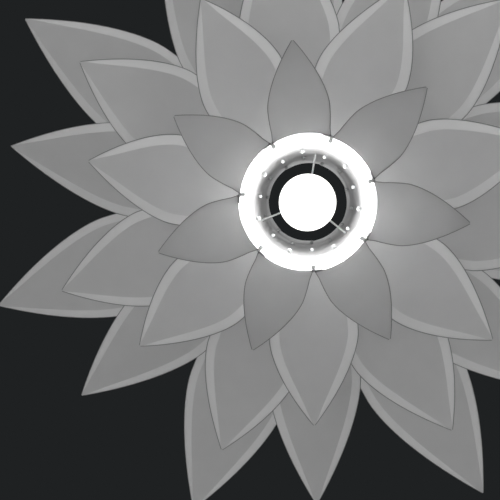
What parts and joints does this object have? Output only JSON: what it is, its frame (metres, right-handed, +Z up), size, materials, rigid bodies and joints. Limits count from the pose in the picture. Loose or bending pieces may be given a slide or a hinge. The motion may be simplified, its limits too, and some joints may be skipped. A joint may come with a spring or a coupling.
{
  "type": "ceiling light",
  "caption": "Lotus pendant shade of folded translucent plastic petals riveted in tiers round an open tube, with wire carrier, lampholder and globe lamp.",
  "frame": {"origin": "centre of the cord entry's mouth, on the axis, at the top of the cord grip", "axes": "+Z up along the axis, out of the cord entry; +X along the first petal of the lowest tier"},
  "size_m": [0.5725, 0.5872, 0.252],
  "materials": {
    "petal_sheet": "satin translucent polypropylene sheet",
    "snap_rivet": "moulded translucent nylon",
    "carrier_wire": "light grey powder coat",
    "white_holder": "moulded white thermoplastic",
    "contact_ceramic": "unglazed pressed ceramic",
    "contact_brass": "stamped",
    "lamp_opal": "opal, lit",
    "lamp_board": "white solder mask",
    "lamp_plastic": "moulded",
    "lamp_nickel": "nickel plated",
    "lamp_glass": "black vitreous insulator"
  },
  "bodies": {
    "shade_and_holder": {"petal_1_1": "petal_sheet", "petal_1_2": "petal_sheet", "petal_1_3": "petal_sheet", "petal_1_4": "petal_sheet", "petal_1_5": "petal_sheet", "petal_1_6": "petal_sheet", "petal_1_7": "petal_sheet", "petal_2_1": "petal_sheet", "petal_2_2": "petal_sheet", "petal_2_3": "petal_sheet", "petal_2_4": "petal_sheet", "petal_2_5": "petal_sheet", "petal_2_6": "petal_sheet", "petal_2_7": "petal_sheet", "petal_3_1": "petal_sheet", "petal_3_2": "petal_sheet", "petal_3_3": "petal_sheet", "petal_3_4": "petal_sheet", "petal_3_5": "petal_sheet", "petal_3_6": "petal_sheet", "petal_3_7": "petal_sheet", "petal_4_1": "petal_sheet", "petal_4_2": "petal_sheet", "petal_4_3": "petal_sheet", "petal_4_4": "petal_sheet", "petal_4_5": "petal_sheet", "petal_4_6": "petal_sheet", "petal_4_7": "petal_sheet", "petal_5_1": "petal_sheet", "petal_5_2": "petal_sheet", "petal_5_3": "petal_sheet", "petal_5_4": "petal_sheet", "petal_5_5": "petal_sheet", "petal_5_6": "petal_sheet", "petal_5_7": "petal_sheet", "rivets_tier_1": "snap_rivet", "rivets_tier_2": "snap_rivet", "rivets_tier_3": "snap_rivet", "rivets_tier_4": "snap_rivet", "rivets_tier_5": "snap_rivet", "shade_carrier": "carrier_wire", "cord_grip": "white_holder", "lampholder_cap": "white_holder", "lampholder_body": "white_holder", "contact_insert": "contact_ceramic", "shell_contact": "contact_brass", "centre_contact": "contact_brass"},
    "shade_ring": {"shade_ring": "white_holder"},
    "lamp": {"lamp_globe": "lamp_opal", "lamp_board": "lamp_board", "lamp_housing": "lamp_plastic", "lamp_cap": "lamp_nickel", "lamp_insulator": "lamp_glass", "lamp_contact": "lamp_nickel"}
  },
  "joints": [
    {"name": "lamp_out", "type": "slide", "parent": "shade_and_holder", "child": "lamp", "axis": [0, 0, -1], "range_m": [0, 0.04]},
    {"name": "shade_ring_down", "type": "slide", "parent": "shade_and_holder", "child": "shade_ring", "axis": [0, 0, -1], "range_m": [0, 0.02]}
  ]
}
